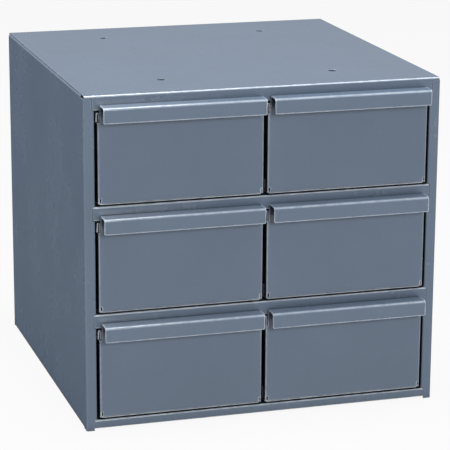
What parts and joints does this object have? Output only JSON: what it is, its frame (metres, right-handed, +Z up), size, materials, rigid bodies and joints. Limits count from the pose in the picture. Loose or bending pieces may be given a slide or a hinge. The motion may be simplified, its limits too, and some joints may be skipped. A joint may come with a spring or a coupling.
{
  "type": "drawer cabinet",
  "caption": "Bench-top steel small-parts cabinet: folded sheet shell, rows of drawers side by side with full-width folded pulls, sliding on fixed angle runners.",
  "frame": {"origin": "centre of the underside of the whole cabinet, with its depth counted from the pulls' front to the back", "axes": "+Z up, drawer fronts face -Y, +X to the right as seen from the front"},
  "size_m": [0.2984, 0.3096, 0.2762],
  "materials": {
    "cabinet_enamel": "semi-gloss blue-grey baked enamel on steel sheet",
    "drawer_enamel": "semi-gloss blue-grey baked enamel on steel sheet",
    "runner_enamel": "thin blue-grey enamel, worn where the drawers ride"
  },
  "bodies": {
    "cabinet": {"side_panel_left": "cabinet_enamel", "side_panel_right": "cabinet_enamel", "top_panel": "cabinet_enamel", "back_panel": "cabinet_enamel", "floor_panel": "cabinet_enamel", "shelf_middle": "cabinet_enamel", "shelf_upper": "cabinet_enamel", "runner_left_lower": "runner_enamel", "runner_centre_lower": "runner_enamel", "runner_right_lower": "runner_enamel", "runner_left_middle": "runner_enamel", "runner_centre_middle": "runner_enamel", "runner_right_middle": "runner_enamel", "runner_left_upper": "runner_enamel", "runner_centre_upper": "runner_enamel", "runner_right_upper": "runner_enamel"},
    "drawer_lower_left": {"drawer_front_lower_left": "drawer_enamel", "drawer_tray_lower_left": "drawer_enamel", "drawer_back_lower_left": "drawer_enamel"},
    "drawer_lower_right": {"drawer_front_lower_right": "drawer_enamel", "drawer_tray_lower_right": "drawer_enamel", "drawer_back_lower_right": "drawer_enamel"},
    "drawer_middle_left": {"drawer_front_middle_left": "drawer_enamel", "drawer_tray_middle_left": "drawer_enamel", "drawer_back_middle_left": "drawer_enamel"},
    "drawer_middle_right": {"drawer_front_middle_right": "drawer_enamel", "drawer_tray_middle_right": "drawer_enamel", "drawer_back_middle_right": "drawer_enamel"},
    "drawer_upper_left": {"drawer_front_upper_left": "drawer_enamel", "drawer_tray_upper_left": "drawer_enamel", "drawer_back_upper_left": "drawer_enamel"},
    "drawer_upper_right": {"drawer_front_upper_right": "drawer_enamel", "drawer_tray_upper_right": "drawer_enamel", "drawer_back_upper_right": "drawer_enamel"}
  },
  "joints": [
    {"name": "lower_left_slide", "type": "slide", "parent": "cabinet", "child": "drawer_lower_left", "axis": [0, -1, 0], "range_m": [0, 0.2755]},
    {"name": "lower_right_slide", "type": "slide", "parent": "cabinet", "child": "drawer_lower_right", "axis": [0, -1, 0], "range_m": [0, 0.2755]},
    {"name": "middle_left_slide", "type": "slide", "parent": "cabinet", "child": "drawer_middle_left", "axis": [0, -1, 0], "range_m": [0, 0.2755]},
    {"name": "middle_right_slide", "type": "slide", "parent": "cabinet", "child": "drawer_middle_right", "axis": [0, -1, 0], "range_m": [0, 0.2755]},
    {"name": "upper_left_slide", "type": "slide", "parent": "cabinet", "child": "drawer_upper_left", "axis": [0, -1, 0], "range_m": [0, 0.2755]},
    {"name": "upper_right_slide", "type": "slide", "parent": "cabinet", "child": "drawer_upper_right", "axis": [0, -1, 0], "range_m": [0, 0.2755]}
  ]
}
